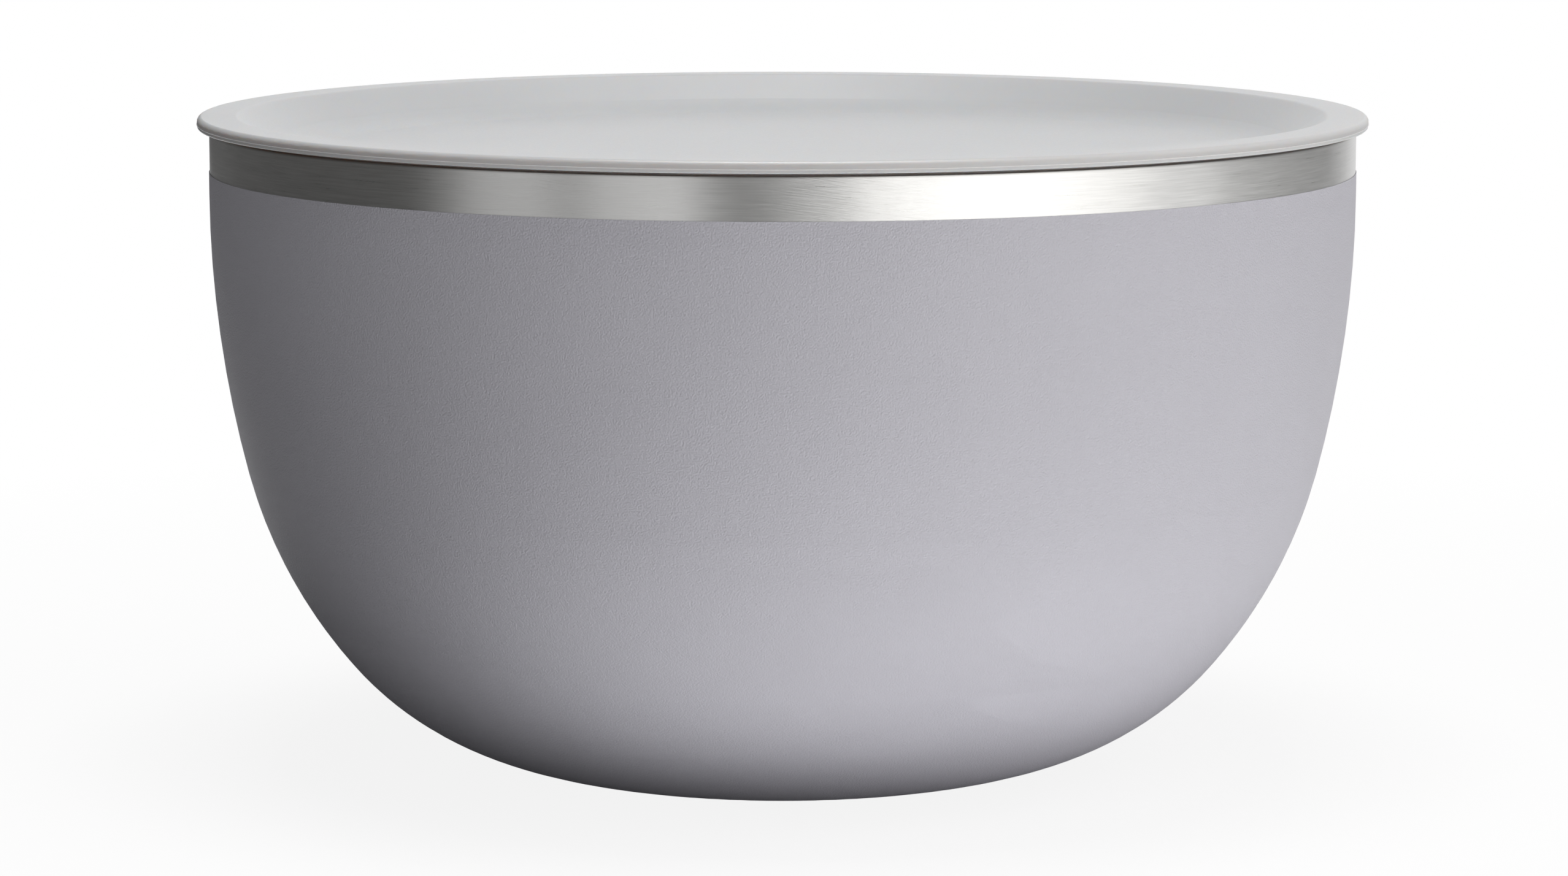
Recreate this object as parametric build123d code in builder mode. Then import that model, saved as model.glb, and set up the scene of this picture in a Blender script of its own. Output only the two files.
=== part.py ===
from build123d import *
import math
import os

# An insulated steel bowl with a lift-off lid. Millimetres, +Z up, origin under the middle of the base.

# Bowl, driving sizes
outer_diameter = 260.0  # steel outer shell at the lip
bowl_height = 145.5  # table to lip
base_diameter = 94.0  # outer edge of the flat that the bowl stands on
straight_wall = 15.0  # upright part of the wall, down from the lip
shoulder_share = 0.48  # part of the curved height that the shoulder takes
shoulder_angle = 14.4  # degrees that the wall turns in the shoulder
belly_angle = 26.2  # degrees that it turns in the belly, and the heel turns the rest
shell_thickness = 0.6  # sheet of the outer shell
liner_thickness = 0.6  # sheet of the liner
vacuum_gap = 6.8  # between the two sheets
foil_thickness = 0.15  # radiation shield on the liner
foil_rise = 5.0  # the foil ends this far up the straight wall
lip_bend = 2.5  # radius on the food side, where the liner turns out into the lip
weld_margin = 0.4  # how much the seam weld is wider than the sheets
weld_bevel = 0.4  # outer corner of the lip
band_height = 9.5  # bare steel between the lip and the coat
coat_thickness = 0.15  # powder coat
coat_table_gap = 0.1  # the coat ends this far above the table

# Base, driving sizes
base_ring_width = 14.0  # flat ring that stands on the table
dimple_diameter = 14.0  # pressed dimple around the evacuation hole
dimple_depth = 1.2
evacuation_hole = 2.0
press_rounding = 0.5  # corners of the pressed base
bead_margin = 2.5  # dimple wall to glass bead
bead_inset = 0.4  # the bead ends this far inside the dimple's mouth
stub_fit = 0.05  # glass to the wall of the evacuation hole
cap_thickness = 0.6
cap_clearance = 0.2  # around the base cap
cap_table_gap = 0.5  # the cap is this far above the table
bond_thickness = 0.3  # adhesive above the cap
bond_margin = 4.0  # adhesive in from the cap's edge, and out from the dimple
getter_diameter = 9.0
getter_thickness = 2.0
clip_thickness = 0.3  # strap over the getter
clip_width = 5.0
clip_foot = 3.5
clip_clearance = 0.2  # strap to the getter's side

# Lid, driving sizes
lid_overhang = 2.7  # the lid's edge stands this far outside the outer shell
rim_thickness = 3.05  # lip to the top of the lid's flat rim
rim_rounding = 1.15  # upper outer edge
corner_step = 7.5  # degrees in each of the short arcs that this edge is swept in
corner_contrast = 0.01  # share by which these arcs are wider and tighter in turn
parting_height = 1.3  # lip to the widest line of the edge, where the mould halves meet
parting_draft = 0.1  # how much the edge tapers in below that line
rim_gap = 0.45  # the edge hangs down to this far above the lip
under_bevel = 0.25  # lower outer edge
flange_wall = 1.2  # edge of the rim, outside its hollow underside
rim_wall = 1.4  # rim above its hollow underside
seat_width = 1.5  # flat of the lip that the lid rests on
crest_setback = 1.6  # the well starts this far outside the bowl's mouth
crest_rounding = 1.6
well_depth = 8.35  # top of the rim to the well's floor
well_run = 12.2  # how far the well's wall slopes in
well_rounding = 16.0
panel_thickness = 2.2
skirt_clearance = 0.3  # skirt to the bowl's mouth
skirt_thickness = 3.0
skirt_tail = 3.0  # skirt below the gasket groove
skirt_lead_in = 0.8
skirt_rounding = 1.0  # inner corner between skirt and panel
groove_drop = 3.0  # lip to the gasket groove
groove_height = 5.0
groove_depth = 1.2
gasket_inset = 0.2  # gasket band behind the skirt's face
gasket_play = 0.1  # gasket to the groove's upper and lower side
gasket_clearance = 0.15  # gasket beads to the bowl's mouth
bead_radius = 0.6
bead_spacing = 2.4

# Bowl, sizes that follow
outer_radius = outer_diameter / 2
base_radius = base_diameter / 2
liner_inset = shell_thickness + vacuum_gap
food_inset = liner_inset + liner_thickness
mouth_radius = outer_radius - food_inset
weld_size = max(shell_thickness, liner_thickness) + weld_margin
weld_corner = min(weld_bevel, 0.9 * weld_size)
curve_top = bowl_height - straight_wall

# The wall is a straight run and three tangent arcs that end level at the base.
# The shoulder is given, and the radii of belly and heel close the height and the width.
heel_angle = 90 - shoulder_angle - belly_angle
shoulder_sin = math.sin(math.radians(shoulder_angle))
shoulder_cos = math.cos(math.radians(shoulder_angle))
heel_sin = math.sin(math.radians(shoulder_angle + belly_angle))
heel_cos = math.cos(math.radians(shoulder_angle + belly_angle))
shoulder_radius = shoulder_share * curve_top / shoulder_sin
run = outer_radius - base_radius - shoulder_radius * (1 - shoulder_cos)
drop = curve_top - shoulder_radius * shoulder_sin
spread = heel_cos * (heel_sin - shoulder_sin) - (shoulder_cos - heel_cos) * (1 - heel_sin)
belly_radius = (heel_cos * drop - (1 - heel_sin) * run) / spread
heel_radius = ((heel_sin - shoulder_sin) * run - (shoulder_cos - heel_cos) * drop) / spread

# Base, sizes that follow
recess_radius = base_radius - base_ring_width
recess_depth = cap_table_gap + cap_thickness + bond_thickness
dimple_radius = dimple_diameter / 2
dimple_roof = recess_depth + dimple_depth
hole_radius = evacuation_hole / 2
pressed_corner = min(press_rounding, 0.4 * recess_depth, 0.4 * dimple_depth)
getter_seat = recess_depth + shell_thickness
getter_offset = (dimple_radius + recess_radius) / 2
cap_radius = recess_radius - cap_clearance

# Lid, sizes that follow
lid_radius = outer_radius + lid_overhang
lid_top = bowl_height + rim_thickness
parting_line = bowl_height + parting_height
rim_under = bowl_height + rim_gap
rim_roof = lid_top - rim_wall
upper_corner = min(rim_rounding, 0.9 * (rim_thickness - parting_height))
corner_arcs = math.ceil(90 / corner_step)
edge_radius = lid_radius - parting_draft
flange_radius = lid_radius - flange_wall
seat_radius = mouth_radius + lip_bend + seat_width
crest_radius = mouth_radius + crest_setback
well_floor = lid_top - well_depth
well_radius = crest_radius - well_run
skirt_radius = mouth_radius - skirt_clearance
skirt_inner = skirt_radius - skirt_thickness
groove_radius = skirt_radius - groove_depth
groove_top = bowl_height - groove_drop
groove_bottom = groove_top - groove_height
skirt_end = groove_bottom - skirt_tail

# The panel keeps its thickness down the well, so its lower corners are moved square to the slope.
well_slope = math.atan2(well_depth, well_run)
under_radius = well_radius + panel_thickness * math.tan(well_slope / 2)
under_floor = well_floor - panel_thickness
under_join = under_floor + (skirt_inner - under_radius) * math.tan(well_slope)


def wall_curve(inset, top, heel_stop=0.0):
    """Draw the bowl's wall, moved in by inset, from a height down to the base, and return its two ends."""
    wall = Line((outer_radius - inset, top), (outer_radius - inset, curve_top))
    shoulder = JernArc(wall @ 1, wall % 1, shoulder_radius - inset, -shoulder_angle)
    belly = JernArc(shoulder @ 1, shoulder % 1, belly_radius - inset, -belly_angle)
    heel = JernArc(belly @ 1, belly % 1, heel_radius - inset, heel_stop - heel_angle)
    return wall @ 0, heel @ 1


# Outer shell: drawn sheet, with a recess in its base and a dimple around the evacuation hole
with BuildPart() as outer_shell:
    with BuildSketch(Plane.XZ):
        with BuildLine():
            outside_top, outside_base = wall_curve(0, bowl_height - weld_size)
            inside_top, inside_base = wall_curve(shell_thickness, bowl_height - weld_size)
            Line(outside_top, inside_top)
            FilletPolyline(
                outside_base,
                (recess_radius, 0),
                (recess_radius, recess_depth),
                (dimple_radius, recess_depth),
                (dimple_radius, dimple_roof),
                (hole_radius, dimple_roof),
                (hole_radius, dimple_roof + shell_thickness),
                (dimple_radius + shell_thickness, dimple_roof + shell_thickness),
                (dimple_radius + shell_thickness, getter_seat),
                (recess_radius + shell_thickness, getter_seat),
                (recess_radius + shell_thickness, shell_thickness),
                inside_base,
                radius=4 * [pressed_corner] + 2 * [0] + 4 * [pressed_corner],
            )
        make_face()
    revolve(axis=Axis.Z)

# Liner: drawn sheet that holds the food, turned out at the mouth into a flat lip
with BuildPart() as inner_liner:
    with BuildSketch(Plane.XZ):
        with BuildLine():
            vacuum_top, vacuum_base = wall_curve(liner_inset, bowl_height - lip_bend)
            food_top, food_base = wall_curve(food_inset, bowl_height - lip_bend)
            under_bend = JernArc(vacuum_top, (0, 1), lip_bend - liner_thickness, -90)
            upper_bend = JernArc(food_top, (0, 1), lip_bend, -90)
            Polyline(
                under_bend @ 1,
                (outer_radius - weld_size, bowl_height - liner_thickness),
                (outer_radius - weld_size, bowl_height),
                upper_bend @ 1,
            )
            Polyline(vacuum_base, (0, liner_inset), (0, food_inset), food_base)
        make_face()
    revolve(axis=Axis.Z)

# Seam weld that closes the lip between liner and outer shell
with BuildPart() as rim_weld:
    with BuildSketch(Plane.XZ):
        with Locations((outer_radius - weld_size / 2, bowl_height - weld_size / 2)):
            Rectangle(weld_size, weld_size)
        outer_corner = vertices().sort_by(Axis.Y)[-2:].sort_by(Axis.X)[-1]
        chamfer(outer_corner, length=weld_corner)
    revolve(axis=Axis.Z)

# Powder coat on the outer shell, from the bare band down to just above the table
coat_stop = math.degrees(math.acos((heel_radius - coat_table_gap) / (heel_radius + coat_thickness)))
with BuildPart() as powder_coat:
    with BuildSketch(Plane.XZ):
        with BuildLine():
            face_top, face_base = wall_curve(-coat_thickness, bowl_height - band_height, coat_stop)
            back_top, back_base = wall_curve(0, bowl_height - band_height, coat_stop)
            Line(face_top, back_top)
            Line(face_base, back_base)
        make_face()
    revolve(axis=Axis.Z)

# Foil on the vacuum side of the liner, which keeps radiated heat in
with BuildPart() as radiation_shield:
    with BuildSketch(Plane.XZ):
        with BuildLine():
            outer_top, outer_base = wall_curve(liner_inset - foil_thickness, curve_top + foil_rise)
            inner_top, inner_base = wall_curve(liner_inset, curve_top + foil_rise)
            Line(outer_top, inner_top)
            Polyline(outer_base, (0, liner_inset - foil_thickness), (0, liner_inset), inner_base)
        make_face()
    revolve(axis=Axis.Z)

# Getter tablet on the base of the outer shell, inside the vacuum
with BuildPart() as getter_tablet:
    with BuildSketch(Plane.XY.offset(getter_seat)):
        with Locations((getter_offset, 0)):
            Circle(getter_diameter / 2)
    extrude(amount=getter_thickness)

# Strap over the getter, with a foot welded down at each end
clip_side = getter_diameter / 2 + clip_clearance
clip_end = clip_side + clip_thickness + clip_foot
clip_under = getter_seat + getter_thickness
with BuildPart() as getter_clip:
    with BuildSketch(Plane.YZ.offset(getter_offset)):
        with BuildLine():
            half = Polyline(
                (0, clip_under),
                (clip_side, clip_under),
                (clip_side, getter_seat),
                (clip_end, getter_seat),
                (clip_end, getter_seat + clip_thickness),
                (clip_side + clip_thickness, getter_seat + clip_thickness),
                (clip_side + clip_thickness, clip_under + clip_thickness),
                (0, clip_under + clip_thickness),
            )
            mirror(half, about=Plane.YZ)
        make_face()
    extrude(amount=clip_width / 2, both=True)

# Solder glass in the dimple, a flat bead with a stub that fills the evacuation hole
with BuildPart() as evacuation_seal:
    with BuildSketch(Plane.XZ):
        with BuildLine():
            bead_low = (0, recess_depth + bead_inset)
            bead_edge = (dimple_radius - bead_margin, dimple_roof)
            TangentArc(bead_low, bead_edge, tangent=(1, 0))
            Polyline(
                bead_edge,
                (hole_radius - stub_fit, dimple_roof),
                (hole_radius - stub_fit, dimple_roof + shell_thickness),
                (0, dimple_roof + shell_thickness),
                bead_low,
            )
        make_face()
    revolve(axis=Axis.Z)

# Base cap, a steel disc that hides the evacuation seal
with BuildPart() as base_cap:
    with BuildSketch(Plane.XY.offset(cap_table_gap)):
        Circle(cap_radius)
    extrude(amount=cap_thickness)
    rim_edge = base_cap.edges().group_by(Axis.Z)[0]
    fillet(rim_edge, radius=cap_thickness / 2)

# Adhesive ring between the cap and the recess
with BuildPart() as cap_bond_ring:
    with BuildSketch(Plane.XY.offset(cap_table_gap + cap_thickness)):
        Circle(cap_radius - bond_margin)
        Circle(dimple_radius + bond_margin, mode=Mode.SUBTRACT)
    extrude(amount=bond_thickness)

# Lid: flat rim that is seated on the bowl's lip, a sunken well, and a skirt with a groove for the gasket.
# The rim's upper corner is swept in short arcs of two radii in turn. They stay separate faces,
# so that meshes of the corner have even rows.
with BuildPart() as lid:
    with BuildSketch(Plane.XZ):
        with BuildLine():
            upper_side = FilletPolyline(
                (0, well_floor),
                (well_radius, well_floor),
                (crest_radius, lid_top),
                (lid_radius - upper_corner, lid_top),
                radius=[well_rounding, crest_rounding],
            )
            corner_arc = upper_side
            for step in range(corner_arcs):
                arc_radius = upper_corner * (1 + corner_contrast * (-1) ** step)
                corner_arc = JernArc(corner_arc @ 1, corner_arc % 1, arc_radius, -90 / corner_arcs)
            edge_and_skirt = Polyline(
                corner_arc @ 1,
                (lid_radius, parting_line),
                (edge_radius, rim_under + under_bevel),
                (edge_radius - under_bevel, rim_under),
                (flange_radius, rim_under),
                (flange_radius, rim_roof),
                (seat_radius, rim_roof),
                (seat_radius, bowl_height),
                (skirt_radius, bowl_height),
                (skirt_radius, groove_top),
                (groove_radius, groove_top),
                (groove_radius, groove_bottom),
                (skirt_radius, groove_bottom),
                (skirt_radius, skirt_end + skirt_lead_in),
                (skirt_radius - skirt_lead_in, skirt_end),
                (skirt_inner, skirt_end),
            )
            lower_side = FilletPolyline(
                (skirt_inner, skirt_end),
                (skirt_inner, under_join),
                (under_radius, under_floor),
                (0, under_floor),
                radius=[skirt_rounding, well_rounding + panel_thickness],
            )
            Line((0, under_floor), (0, well_floor))
        make_face()
    revolve(axis=Axis.Z, clean=False)

# Gasket: soft ring in the groove, with two beads that wipe the bowl's mouth
band_width = groove_depth - gasket_inset
with BuildPart() as lid_gasket:
    with BuildSketch(Plane.XZ):
        with Locations((groove_radius + band_width / 2, (groove_top + groove_bottom) / 2)):
            Rectangle(band_width, groove_height - 2 * gasket_play)
        with Locations((mouth_radius - gasket_clearance - bead_radius, (groove_top + groove_bottom) / 2)):
            with GridLocations(1, bead_spacing, 1, 2):
                Circle(bead_radius)
    revolve(axis=Axis.Z)

os.makedirs("parts", exist_ok=True)
pieces = {
    "outer_shell": outer_shell,
    "inner_liner": inner_liner,
    "rim_weld": rim_weld,
    "powder_coat": powder_coat,
    "radiation_shield": radiation_shield,
    "getter_tablet": getter_tablet,
    "getter_clip": getter_clip,
    "evacuation_seal": evacuation_seal,
    "base_cap": base_cap,
    "cap_bond_ring": cap_bond_ring,
    "lid": lid,
    "lid_gasket": lid_gasket,
}
for name, piece in pieces.items():
    piece.part.label = name
    export_step(piece.part, f"parts/{name}.step")
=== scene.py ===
"""Looks of an insulated steel bowl with a lift-off lid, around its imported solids. Metres, +Z up."""

import math

import bmesh
import bpy
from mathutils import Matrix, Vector, noise


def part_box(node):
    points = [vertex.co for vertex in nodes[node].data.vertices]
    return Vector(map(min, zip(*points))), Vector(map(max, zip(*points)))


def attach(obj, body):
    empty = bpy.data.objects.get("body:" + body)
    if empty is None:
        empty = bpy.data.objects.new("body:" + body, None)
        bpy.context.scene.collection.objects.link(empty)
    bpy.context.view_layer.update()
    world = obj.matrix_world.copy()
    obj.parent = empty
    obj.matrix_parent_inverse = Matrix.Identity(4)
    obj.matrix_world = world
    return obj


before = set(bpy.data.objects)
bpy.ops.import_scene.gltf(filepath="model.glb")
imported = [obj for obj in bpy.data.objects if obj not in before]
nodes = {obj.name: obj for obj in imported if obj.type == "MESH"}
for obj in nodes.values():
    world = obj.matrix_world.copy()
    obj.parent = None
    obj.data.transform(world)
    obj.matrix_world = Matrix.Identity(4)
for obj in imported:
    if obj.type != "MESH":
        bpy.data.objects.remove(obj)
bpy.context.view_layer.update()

# Sizes that come from the frame
lid_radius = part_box("lid")[1].x
bowl_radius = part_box("outer_shell")[1].x
lip_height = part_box("rim_weld")[1].z

# The photograph's view, measured from the bowl's axis and lip
CAMERA_DISTANCE = 1.170
CAMERA_RISE = 0.0924
CAMERA_ASIDE = 0.0003
CAMERA_PITCH = math.radians(8.004)
CAMERA_LENS_MM = 117.98
SENSOR_WIDTH_MM = 36.0
CLIP_START = 0.01
CLIP_END = 50.0

# Most values of a noise lie in this range, round this middle
NOISE_RANGE = (0.3, 0.7)
NOISE_MIDDLE = 0.5

# The band's hand brushing: how it leans, and the length and width of its scratches
BRUSH_SLANT = math.radians(8)
SCRATCH_LENGTH = 0.007
SCRATCH_WIDTH = 0.0003

# Where that brushing overlaps, as an angle to the right of the front, how far it spreads, and the share
# of that spread where it is full
OVERLAP_ANGLE = math.radians(7)
OVERLAP_SPREAD = math.radians(10)
OVERLAP_CORE = 0.3

# Fainter patches of that brushing elsewhere. They fade out between these angles from the front, in radians,
# because the angle wraps round at the back.
PATCHES_PER_METRE = 35.0
PATCH_EDGE = (0.52, 0.68)
PATCH_STRENGTH = 0.5
PATCH_FADE = (2.4, 2.9)

# Painted shade under the lid's overhang, which darkens the band along the lip's edge, and how far below the
# lip's top it starts, is full and ends
PAINTED_LID_SHADE = (0.1, 0.1, 0.096)
LID_SHADE_START = 0.0008
LID_SHADE_FULL = 0.0001
LID_SHADE_END = 0.00002

# Flash along the lid's parting line: its steps round the lid, how far it stands proud and reaches in,
# half its height, and how far it wanders up and down
FLASH_STEPS = 1440
FLASH_PROUD = 0.00009
FLASH_ROOT = 0.0003
FLASH_HALF_HEIGHT = 0.00009
FLASH_DRIFT = 0.00003

# The flash's fine and coarse notches and its wandering, as waves for each radian round the lid, and the
# least shares of its reach and height that the notches leave
FLASH_FINE_WAVES = 150
FLASH_COARSE_WAVES = 35
FLASH_DRIFT_WAVES = 12
FLASH_LEAST_PROUD = 0.25
FLASH_LEAST_HEIGHT = 0.5

# How much of the flash usually stands between the notches, and what both kinds of notch add or take
FLASH_USUAL = 0.5
FLASH_FINE_SHARE = 0.5
FLASH_COARSE_SHARE = 0.4

# The lid's points this close to its full radius are on its widest line
WIDEST_LINE_TOLERANCE = 1e-5

# Lamps hang this far from the point that they are aimed at, and light panels lie this high over the table.
# Their light has one of these two colours.
LAMP_DISTANCE = 1.4
LAMP_TARGET = (0.0, 0.0, 0.08)
PANEL_HEIGHT = 0.001
WHITE = (1.0, 1.0, 1.0)
WARM = (1.0, 0.985, 0.95)

# The floor reaches this far, and lies just below the base's face, so that the two don't share a plane
FLOOR_REACH = 6.0
FLOOR_HEIGHT = -0.00005
FLOOR_PALE = (0.88, 0.88, 0.88)

# Dark cloth covers the floor on the left of the bowl, unseen by the camera; it ends between these places
CLOTH = (0.1, 0.1, 0.1)
CLOTH_EDGE = (-0.12, 0.06)

# The floor's share of plain white to the eye, at these distances from the axis; the rest takes the shadow
SHADOW_REACH = (0.1, 0.5)
SHADOW_WHITE = (0.88, 1.0)

# Mirrors see a white backdrop straight behind the bowl; this is where it starts and is full, as a cosine.
# On the floor the cosine is taken no nearer to the axis than the least distance.
BACKDROP_EDGE = (0.68, 0.95)
BACKDROP_LEAST_DISTANCE = 0.2

# Mirrors see a grey wall on the right and a grey ceiling too, with edges given in the same way
WALL_EDGE = (0.2, 0.6)
CEILING_EDGE = (0.6, 0.95)


class Nodes:
    """A node tree, with short calls to add and link its nodes."""

    # The Mix node's colour sockets by number, because its sockets for other kinds have the same names
    FIRST_COLOUR = 6
    SECOND_COLOUR = 7
    MIXED_COLOUR = 2

    def __init__(self, tree):
        self.tree = tree

    def add(self, kind, inputs=None, **settings):
        node = self.tree.nodes.new(kind)
        for key, value in settings.items():
            setattr(node, key, value)
        for key, value in (inputs or {}).items():
            self.feed(node.inputs[key], value)
        return node

    def feed(self, socket, value):
        """Links another socket to this one, or sets its value."""
        if isinstance(value, bpy.types.NodeSocket):
            self.tree.links.new(value, socket)
        else:
            socket.default_value = value

    def math(self, operation, first, second=0.0):
        return self.add("ShaderNodeMath", {0: first, 1: second}, operation=operation).outputs[0]

    def place(self):
        """Position on the piece, in metres."""
        return self.add("ShaderNodeTexCoord").outputs["Object"]

    def split(self, vector):
        return self.add("ShaderNodeSeparateXYZ", {0: vector}).outputs

    def join(self, x, y, z=0.0):
        return self.add("ShaderNodeCombineXYZ", {"X": x, "Y": y, "Z": z}).outputs[0]

    def length(self, vector):
        return self.add("ShaderNodeVectorMath", {0: vector}, operation="LENGTH").outputs["Value"]

    def scaled(self, vector, x, y, z):
        scale = {"Vector": vector, "Scale": (x, y, z)}
        return self.add("ShaderNodeMapping", scale, vector_type="POINT").outputs[0]

    def noise(self, vector, scale, detail=2.0, roughness=0.5):
        """Noise with about scale grains for each unit of the vector, which is a metre for a place."""
        inputs = {"Vector": vector, "Scale": scale, "Detail": detail, "Roughness": roughness}
        return self.add("ShaderNodeTexNoise", inputs).outputs["Fac"]

    def ramp(self, value, low, high, to_low, to_high):
        inputs = {"Value": value, "From Min": low, "From Max": high, "To Min": to_low, "To Max": to_high}
        return self.add("ShaderNodeMapRange", inputs).outputs["Result"]

    def tint(self, value, dark, light):
        """A colour between two, each three numbers or a socket."""
        ends = [c if isinstance(c, bpy.types.NodeSocket) else (*c, 1.0) for c in (dark, light)]
        inputs = {"Factor": value, self.FIRST_COLOUR: ends[0], self.SECOND_COLOUR: ends[1]}
        return self.add("ShaderNodeMix", inputs, data_type="RGBA").outputs[self.MIXED_COLOUR]

    def bump(self, height, distance, strength, under=None):
        """A surface raised by a height of 0 to 1 times the distance, over another bump if one is given."""
        inputs = {"Height": height, "Distance": distance, "Strength": strength}
        if under is not None:
            inputs["Normal"] = under
        return self.add("ShaderNodeBump", inputs).outputs["Normal"]

    def blend(self, share, first, second):
        return self.add("ShaderNodeMixShader", {0: share, 1: first, 2: second}).outputs[0]


class Material(Nodes):
    """A new material's node tree."""

    def __init__(self, name):
        self.material = bpy.data.materials.new(name)
        self.material.use_nodes = True
        super().__init__(self.material.node_tree)
        self.shader = self.tree.nodes["Principled BSDF"]

    def surface(self, **inputs):
        """Sets the shader's inputs, whose names are written with underscores here."""
        for key, value in inputs.items():
            self.feed(self.shader.inputs[key.replace("_", " ").title()], value)
        return self.material


def spun(look, around, along):
    """A vector for streaks round the axis: slow around it, fast along the wall or the floor."""
    parts = look.split(look.place())
    radius = look.length(look.join(parts["X"], parts["Y"]))
    depth = look.math("ADD", parts["Z"], radius)
    return look.scaled(look.join(parts["X"], parts["Y"], depth), around, around, along)


def streaks(look, length, width):
    """Fine brush marks round the axis, over some longer and broader ones, from 0 to 1."""
    fine_share, long_share = 0.7, 0.3
    # The long marks' waves around the axis and along the wall, for each wave of the fine marks
    waves_around, waves_along = 0.3, 0.5
    fine = look.noise(spun(look, 1 / length, 1 / width), scale=1.0, detail=2.0)
    long = look.noise(spun(look, waves_around / length, waves_along / width), scale=1.0, detail=1.0)
    fine_part = look.math("MULTIPLY", fine, fine_share)
    return look.math("ADD", fine_part, look.math("MULTIPLY", long, long_share))


def mark_colour(look, marks, dark, light):
    return look.tint(look.ramp(marks, *NOISE_RANGE, 0.0, 1.0), dark, light)


def brushed(look, marks, colour, roughness, normal):
    """Steel whose gloss is drawn out across its brush marks."""
    spread = 0.05
    return look.surface(
        base_color=colour,
        roughness=look.ramp(marks, *NOISE_RANGE, roughness - spread, roughness + spread),
        metallic=1.0,
        anisotropic=0.8,
        anisotropic_rotation=0.25,
        tangent=look.add("ShaderNodeTangent", direction_type="RADIAL", axis="Z").outputs[0],
        normal=normal,
    )


def steel(name, dark, light, roughness):
    """Steel brushed or spun round the axis."""
    look = Material(name)
    marks = streaks(look, length=0.012, width=0.00026)
    normal = look.bump(marks, distance=0.00002, strength=0.5)
    return brushed(look, marks, mark_colour(look, marks, dark, light), roughness, normal)


def slanted_brushing(look):
    """Hand-brushed scratches that lean on the upright wall, as a height."""
    parts = look.split(look.place())
    angle = look.math("ARCTAN2", parts["X"], look.math("MULTIPLY", parts["Y"], -1.0))
    around = look.math("MULTIPLY", angle, bowl_radius)
    across = look.math("ADD", parts["Z"], look.math("MULTIPLY", around, math.tan(BRUSH_SLANT)))
    along_scratch = look.math("DIVIDE", around, SCRATCH_LENGTH)
    across_scratch = look.math("DIVIDE", across, SCRATCH_WIDTH)
    scratches = look.noise(look.join(along_scratch, across_scratch), scale=1.0, detail=1.5)
    height = look.math("SUBTRACT", scratches, NOISE_MIDDLE)
    from_overlap = look.math("ABSOLUTE", look.math("SUBTRACT", angle, OVERLAP_ANGLE))
    overlap = look.ramp(from_overlap, OVERLAP_CORE * OVERLAP_SPREAD, OVERLAP_SPREAD, 1.0, 0.0)
    patch_noise = look.noise(look.place(), PATCHES_PER_METRE, detail=1.0)
    patches = look.ramp(patch_noise, *PATCH_EDGE, 0.0, PATCH_STRENGTH)
    fade = look.ramp(look.math("ABSOLUTE", angle), *PATCH_FADE, 1.0, 0.0)
    return look.math("MULTIPLY", height, look.math("MAXIMUM", overlap, look.math("MULTIPLY", patches, fade)))


def band_steel():
    """The shell's bare band: brushed round, with slanted scratches, and darkened along the lip's edge by
    painted shade from the lid's overhang.
    """
    look = Material("brushed_steel")
    marks = streaks(look, length=0.01, width=0.00022)
    round_marks = look.bump(marks, distance=0.00001, strength=0.5)
    normal = look.bump(slanted_brushing(look), distance=0.0001, strength=0.55, under=round_marks)
    colour = mark_colour(look, marks, (0.53, 0.528, 0.52), (0.67, 0.667, 0.658))
    height = look.split(look.place())["Z"]
    # Painted shade: the band's colour darkens just below the lip, where the lid's overhang shades it
    below = look.ramp(height, lip_height - LID_SHADE_START, lip_height - LID_SHADE_FULL, 0.0, 1.0)
    on_top = look.ramp(height, lip_height - LID_SHADE_FULL, lip_height - LID_SHADE_END, 1.0, 0.0)
    shaded_under_lid = look.tint(look.math("MINIMUM", below, on_top), colour, PAINTED_LID_SHADE)
    return brushed(look, marks, shaded_under_lid, roughness=0.32, normal=normal)


def powder_coat():
    """Lilac-grey powder coat with its fine orange-peel grain."""
    look = Material("powder_coat")
    grain = look.noise(look.place(), scale=2700.0, detail=0.5)
    cloud = look.noise(look.place(), scale=60.0, detail=2.0)
    return look.surface(
        base_color=look.tint(cloud, (0.496, 0.488, 0.537), (0.514, 0.506, 0.556)),
        roughness=look.ramp(grain, *NOISE_RANGE, 0.5, 0.58),
        normal=look.bump(grain, distance=0.00018, strength=0.8),
    )


def lid_plastic():
    """Pale grey moulded plastic, satin and faintly wavy. Red light goes furthest through its edges."""
    look = Material("lid_plastic")
    skin = look.noise(look.place(), scale=2600.0, detail=2.0)
    wave = look.noise(look.place(), scale=26.0, detail=1.0)
    waved = look.bump(wave, distance=0.0004, strength=0.04)
    return look.surface(
        base_color=look.tint(wave, (0.504, 0.511, 0.523), (0.53, 0.537, 0.549)),
        roughness=look.ramp(skin, *NOISE_RANGE, 0.35, 0.45),
        subsurface_weight=0.4,
        subsurface_radius=(0.0045, 0.0028, 0.0018),
        subsurface_scale=1.0,
        normal=look.bump(skin, distance=0.000005, strength=0.4, under=waved),
    )


def mottled(look, spots, dark, light, smooth, rough, distance, strength, metallic=0.0):
    """A surface whose colour, gloss and height all follow the same spots."""
    return look.surface(
        base_color=look.tint(spots, dark, light),
        roughness=look.ramp(spots, *NOISE_RANGE, smooth, rough),
        metallic=metallic,
        normal=look.bump(spots, distance, strength),
    )


def flash_plastic():
    """The lid's plastic where it is thin and pale."""
    look = Material("flash_plastic")
    specks = look.noise(look.place(), scale=900.0, detail=2.0)
    dark, light = (0.68, 0.68, 0.69), (0.8, 0.8, 0.81)
    return mottled(look, specks, dark, light, smooth=0.35, rough=0.5, distance=0.00002, strength=0.4)


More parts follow.
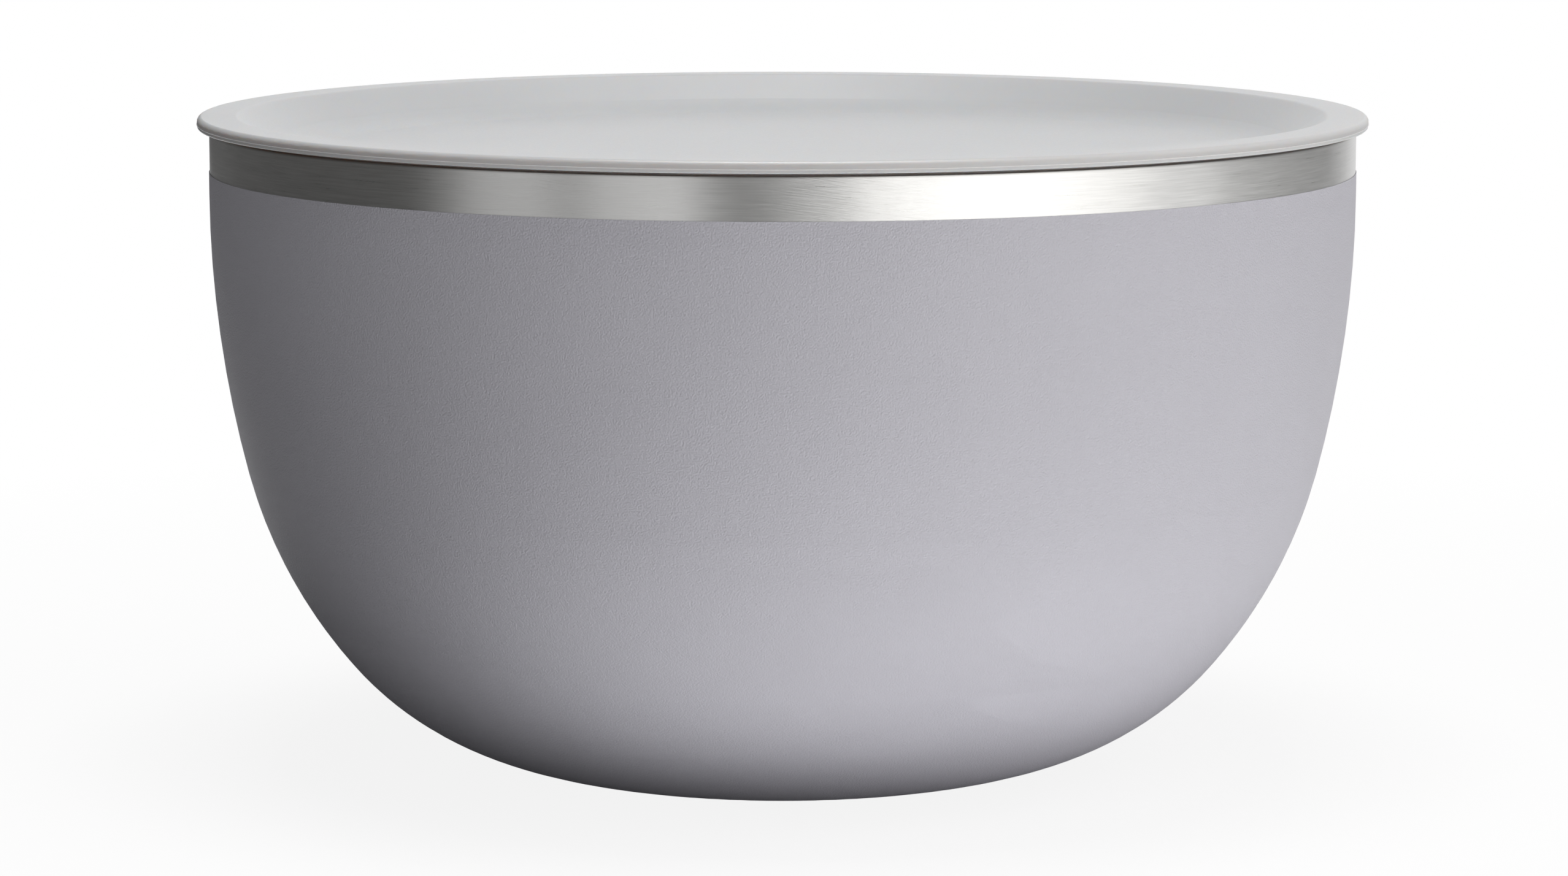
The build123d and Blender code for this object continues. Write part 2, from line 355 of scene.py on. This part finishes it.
def soft_rubber(name, dark, light, roughness):
    """Cured silicone or adhesive with a dusty skin."""
    spread = 0.08
    look = Material(name)
    dust = look.noise(look.place(), scale=900.0, detail=3.0)
    smooth, rough = roughness - spread, roughness + spread
    return mottled(look, dust, dark, light, smooth, rough, distance=0.00002, strength=0.4)


def foil():
    """Thin bright foil with small creases."""
    look = Material("foil")
    creases = look.noise(look.place(), scale=160.0, detail=4.0, roughness=0.6)
    dark, light = (0.78, 0.72, 0.64), (0.86, 0.82, 0.76)
    relief = {"distance": 0.0004, "strength": 0.5}
    return mottled(look, creases, dark, light, smooth=0.12, rough=0.28, metallic=1.0, **relief)


def getter():
    """Dark sintered metal."""
    look = Material("getter")
    pores = look.noise(look.place(), scale=2200.0, detail=4.0, roughness=0.7)
    dark, light = (0.1, 0.1, 0.105), (0.2, 0.2, 0.21)
    relief = {"distance": 0.0001, "strength": 0.7}
    return mottled(look, pores, dark, light, smooth=0.6, rough=0.85, metallic=0.6, **relief)


def solder_glass():
    """Fired glass bead, dark green-grey."""
    look = Material("solder_glass")
    flow = look.noise(look.place(), scale=700.0, detail=2.0)
    dark, light = (0.05, 0.065, 0.055), (0.1, 0.12, 0.1)
    return mottled(look, flow, dark, light, smooth=0.08, rough=0.2, distance=0.00004, strength=0.4)


def dress(node, material):
    for slot in nodes[node].material_slots:
        slot.material = material


band_material = band_steel()
dress("outer_shell", band_material)
dress("rim_weld", band_material)
dress("inner_liner", steel("spun_steel", (0.56, 0.56, 0.555), (0.66, 0.66, 0.655), 0.3))
dress("base_cap", steel("turned_steel", (0.5, 0.5, 0.495), (0.64, 0.64, 0.635), 0.28))
dress("getter_clip", steel("strip_steel", (0.5, 0.5, 0.5), (0.62, 0.62, 0.62), 0.25))
dress("powder_coat", powder_coat())
dress("lid", lid_plastic())
dress("lid_gasket", soft_rubber("gasket_silicone", (0.56, 0.565, 0.57), (0.62, 0.625, 0.63), 0.5))
dress("cap_bond_ring", soft_rubber("bond", (0.6, 0.6, 0.58), (0.7, 0.7, 0.68), 0.6))
dress("radiation_shield", foil())
dress("getter_tablet", getter())
dress("evacuation_seal", solder_glass())


def flash_section(mesh, angle, height):
    """Four corners of the flash at an angle round the lid: two inside the lid and two at its ragged edge."""
    across = Vector((math.sin(angle), -math.cos(angle), 0.0))
    fine = noise.noise(across * FLASH_FINE_WAVES)
    coarse = noise.noise(across * FLASH_COARSE_WAVES)
    ragged = FLASH_USUAL + FLASH_FINE_SHARE * fine + FLASH_COARSE_SHARE * coarse
    ragged = min(max(ragged, 0.0), 1.0)
    other_layer = Vector((0.0, 0.0, 3.0))  # of the noise, so that the wandering doesn't follow the notches
    middle = height + FLASH_DRIFT * noise.noise(across * FLASH_DRIFT_WAVES + other_layer)
    inner = across * (lid_radius - FLASH_ROOT)
    outer = across * (lid_radius + FLASH_PROUD * (FLASH_LEAST_PROUD + (1 - FLASH_LEAST_PROUD) * ragged))
    half = FLASH_HALF_HEIGHT * (FLASH_LEAST_HEIGHT + (1 - FLASH_LEAST_HEIGHT) * ragged)
    corners = [
        (inner, middle - FLASH_HALF_HEIGHT),
        (outer, middle - half),
        (outer, middle + half),
        (inner, middle + FLASH_HALF_HEIGHT),
    ]
    return [mesh.verts.new((place.x, place.y, z)) for place, z in corners]


def parting_flash():
    """The thin uneven flash that the mould halves leave on the lid's widest line."""
    least_radius = lid_radius - WIDEST_LINE_TOLERANCE
    points = [vertex.co for vertex in nodes["lid"].data.vertices]
    height = min(point.z for point in points if math.hypot(point.x, point.y) > least_radius)
    mesh = bmesh.new()
    sections = [flash_section(mesh, 2 * math.pi * step / FLASH_STEPS, height) for step in range(FLASH_STEPS)]
    for section, after in zip(sections, sections[1:] + sections[:1]):
        for corner in range(len(section)):
            following = (corner + 1) % len(section)
            mesh.faces.new((section[corner], after[corner], after[following], section[following]))
    bmesh.ops.recalc_face_normals(mesh, faces=mesh.faces)
    data = bpy.data.meshes.new("parting_flash")
    mesh.to_mesh(data)
    mesh.free()
    data.shade_smooth()
    data.materials.append(flash_plastic())
    flash = bpy.data.objects.new("parting_flash", data)
    bpy.context.scene.collection.objects.link(flash)
    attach(flash, "lid_body")


parting_flash()


def area_lamp(name, width, height, radiance, colour):
    """An evenly bright panel that lights and is mirrored, but isn't seen by the camera."""
    light = bpy.data.lights.new(name, "AREA")
    light.shape = "RECTANGLE"
    light.size = width
    light.size_y = height
    light.energy = radiance * math.pi * width * height
    light.color = colour
    lamp = bpy.data.objects.new(name, light)
    lamp.visible_camera = False
    bpy.context.scene.collection.objects.link(lamp)
    return lamp


def softbox(name, azimuth, elevation, width, height, radiance, colour=WHITE):
    """A lamp aimed at the bowl; azimuth is to the right of the photograph's camera, in degrees."""
    lamp = area_lamp(name, width, height, radiance, colour)
    turn, lift = math.radians(azimuth), math.radians(elevation)
    away = Vector((math.cos(lift) * math.sin(turn), -math.cos(lift) * math.cos(turn), math.sin(lift)))
    lamp.location = Vector(LAMP_TARGET) + LAMP_DISTANCE * away
    lamp.rotation_euler = (-away).to_track_quat("-Z", "Y").to_euler()


def table_light(name, azimuth, near, far, width, radiance):
    """A light panel that lies on the table and shines up, from near to far of the bowl's axis."""
    panel = area_lamp(name, width, far - near, radiance, WHITE)
    turn = math.radians(azimuth)
    middle = (near + far) / 2
    panel.location = (middle * math.sin(turn), -middle * math.cos(turn), PANEL_HEIGHT)
    panel.rotation_euler = (math.pi, 0.0, turn)


def staged_plane(name, corners, material):
    """A flat piece of the studio, which is no part of the object."""
    mesh = bpy.data.meshes.new(name)
    mesh.from_pydata(corners, [], [(0, 1, 2, 3)])
    mesh.materials.append(material)
    plane = bpy.data.objects.new(name, mesh)
    bpy.context.scene.collection.objects.link(plane)
    return plane


def studio_floor():
    """Pale floor that keeps the object's shadow and is white to the eye further out.

    Seen from below, and to light from below, it is clear, so that the base can be looked at.
    """
    look = Material("floor")
    place = look.place()
    distance = look.length(place)
    parts = look.split(place)
    path = look.add("ShaderNodeLightPath").outputs
    seen = path["Is Camera Ray"]
    pale = look.math("MAXIMUM", look.ramp(parts["X"], *CLOTH_EDGE, 0.0, 1.0), seen)
    look.surface(base_color=look.tint(pale, CLOTH, FLOOR_PALE), roughness=0.9)
    to_eye = look.math("MULTIPLY", seen, look.ramp(distance, *SHADOW_REACH, *SHADOW_WHITE))
    mirrored = look.math("MAXIMUM", path["Is Glossy Ray"], path["Is Transmission Ray"])
    behind = look.math("DIVIDE", parts["Y"], look.math("MAXIMUM", distance, BACKDROP_LEAST_DISTANCE))
    to_mirrors = look.math("MULTIPLY", mirrored, look.ramp(behind, *BACKDROP_EDGE, 0.0, 1.0))
    white = look.add("ShaderNodeEmission", {"Color": (*WHITE, 1.0), "Strength": 1.0}).outputs[0]
    from_above = look.blend(look.math("MAXIMUM", to_eye, to_mirrors), look.shader.outputs[0], white)
    below = look.math("MULTIPLY", look.add("ShaderNodeNewGeometry").outputs["Backfacing"], seen)
    clear = look.add("ShaderNodeBsdfTransparent").outputs[0]
    both = look.blend(look.math("MAXIMUM", below, path["Is Shadow Ray"]), from_above, clear)
    look.feed(look.tree.nodes["Material Output"].inputs["Surface"], both)
    signs = [(-1, -1), (1, -1), (1, 1), (-1, 1)]
    corners = [(x * FLOOR_REACH, y * FLOOR_REACH, FLOOR_HEIGHT) for x, y in signs]
    staged_plane("floor", corners, look.material)


def dark_flag(x, front, back, height):
    """An upright dark grey panel on the left, which keeps the light off that side."""
    look = Material("flag")
    look.surface(base_color=(0.16, 0.16, 0.16, 1.0), roughness=0.9)
    corners = [(x, front, 0.0), (x, back, 0.0), (x, back, height), (x, front, height)]
    flag = staged_plane("flag", corners, look.material)
    flag.visible_camera = False


def studio_world(ambient, room, wall, ceiling):
    """White to the eye and dim grey as light; to mirrors a dim room with a wall, a ceiling and a backdrop."""
    world = bpy.data.worlds.new("studio")
    bpy.context.scene.world = world
    world.use_nodes = True
    look = Nodes(world.node_tree)
    path = look.add("ShaderNodeLightPath").outputs
    mirrored = look.math("MAXIMUM", path["Is Glossy Ray"], path["Is Transmission Ray"])
    direction = look.split(look.add("ShaderNodeTexCoord").outputs["Generated"])
    backdrop_level = look.ramp(direction["Y"], *BACKDROP_EDGE, room, 1.0)
    wall_level = look.ramp(direction["X"], *WALL_EDGE, room, wall)
    ceiling_level = look.ramp(direction["Z"], *CEILING_EDGE, room, ceiling)
    mirror_level = look.math("MAXIMUM", look.math("MAXIMUM", backdrop_level, wall_level), ceiling_level)
    level = look.math("ADD", path["Is Camera Ray"], look.math("MULTIPLY", mirrored, mirror_level))
    background = look.tree.nodes["Background"]
    look.feed(background.inputs["Color"], (*WHITE, 1.0))
    look.feed(background.inputs["Strength"], look.math("MAXIMUM", level, ambient))


def photo_camera():
    """The camera at the photograph's view."""
    optics = bpy.data.cameras.new("camera")
    optics.sensor_fit = "HORIZONTAL"
    optics.sensor_width = SENSOR_WIDTH_MM
    optics.lens = CAMERA_LENS_MM
    optics.clip_start = CLIP_START
    optics.clip_end = CLIP_END
    camera = bpy.data.objects.new("camera", optics)
    camera.location = (CAMERA_ASIDE, -CAMERA_DISTANCE, lip_height + CAMERA_RISE)
    camera.rotation_euler = (math.pi / 2 - CAMERA_PITCH, 0.0, 0.0)
    bpy.context.scene.collection.objects.link(camera)
    bpy.context.scene.camera = camera


studio_floor()
dark_flag(x=-0.45, front=-0.2, back=2.0, height=0.8)
studio_world(ambient=0.04, room=0.1, wall=0.55, ceiling=0.45)

softbox("top", azimuth=0, elevation=88, width=0.6, height=0.6, radiance=13.3)
softbox("high", azimuth=55, elevation=53, width=1.2, height=0.75, radiance=1.3, colour=WARM)
softbox("key", azimuth=43, elevation=7, width=1.54, height=0.3, radiance=2.18, colour=WARM)
softbox("side", azimuth=80, elevation=10, width=0.5, height=0.5, radiance=1.0)
softbox("right", azimuth=100, elevation=30, width=0.5, height=0.5, radiance=1.1)
softbox("fill", azimuth=-24, elevation=8, width=0.56, height=0.34, radiance=1.0)
softbox("fill_left", azimuth=-53, elevation=6, width=0.45, height=0.3, radiance=0.68)
softbox("under", azimuth=0, elevation=-90, width=1.0, height=1.0, radiance=0.38)

table_light("table_far", azimuth=32, near=0.7, far=1.9, width=1.1, radiance=3.15)
table_light("table_right", azimuth=78, near=0.3, far=0.7, width=0.5, radiance=0.42)
table_light("table_left", azimuth=-38, near=0.5, far=1.6, width=0.75, radiance=1.2)
table_light("table_strip", azimuth=-21, near=0.6, far=1.3, width=0.14, radiance=1.95)
table_light("table_front", azimuth=0, near=0.107, far=0.27, width=0.2, radiance=0.64)
table_light("table_near", azimuth=45, near=0.107, far=0.25, width=0.2, radiance=0.46)
table_light("table_back", azimuth=180, near=0.25, far=0.9, width=0.3, radiance=0.95)
table_light("table_behind", azimuth=-164, near=0.16, far=0.6, width=0.45, radiance=0.75)
photo_camera()

bpy.context.scene.view_settings.view_transform = "Standard"
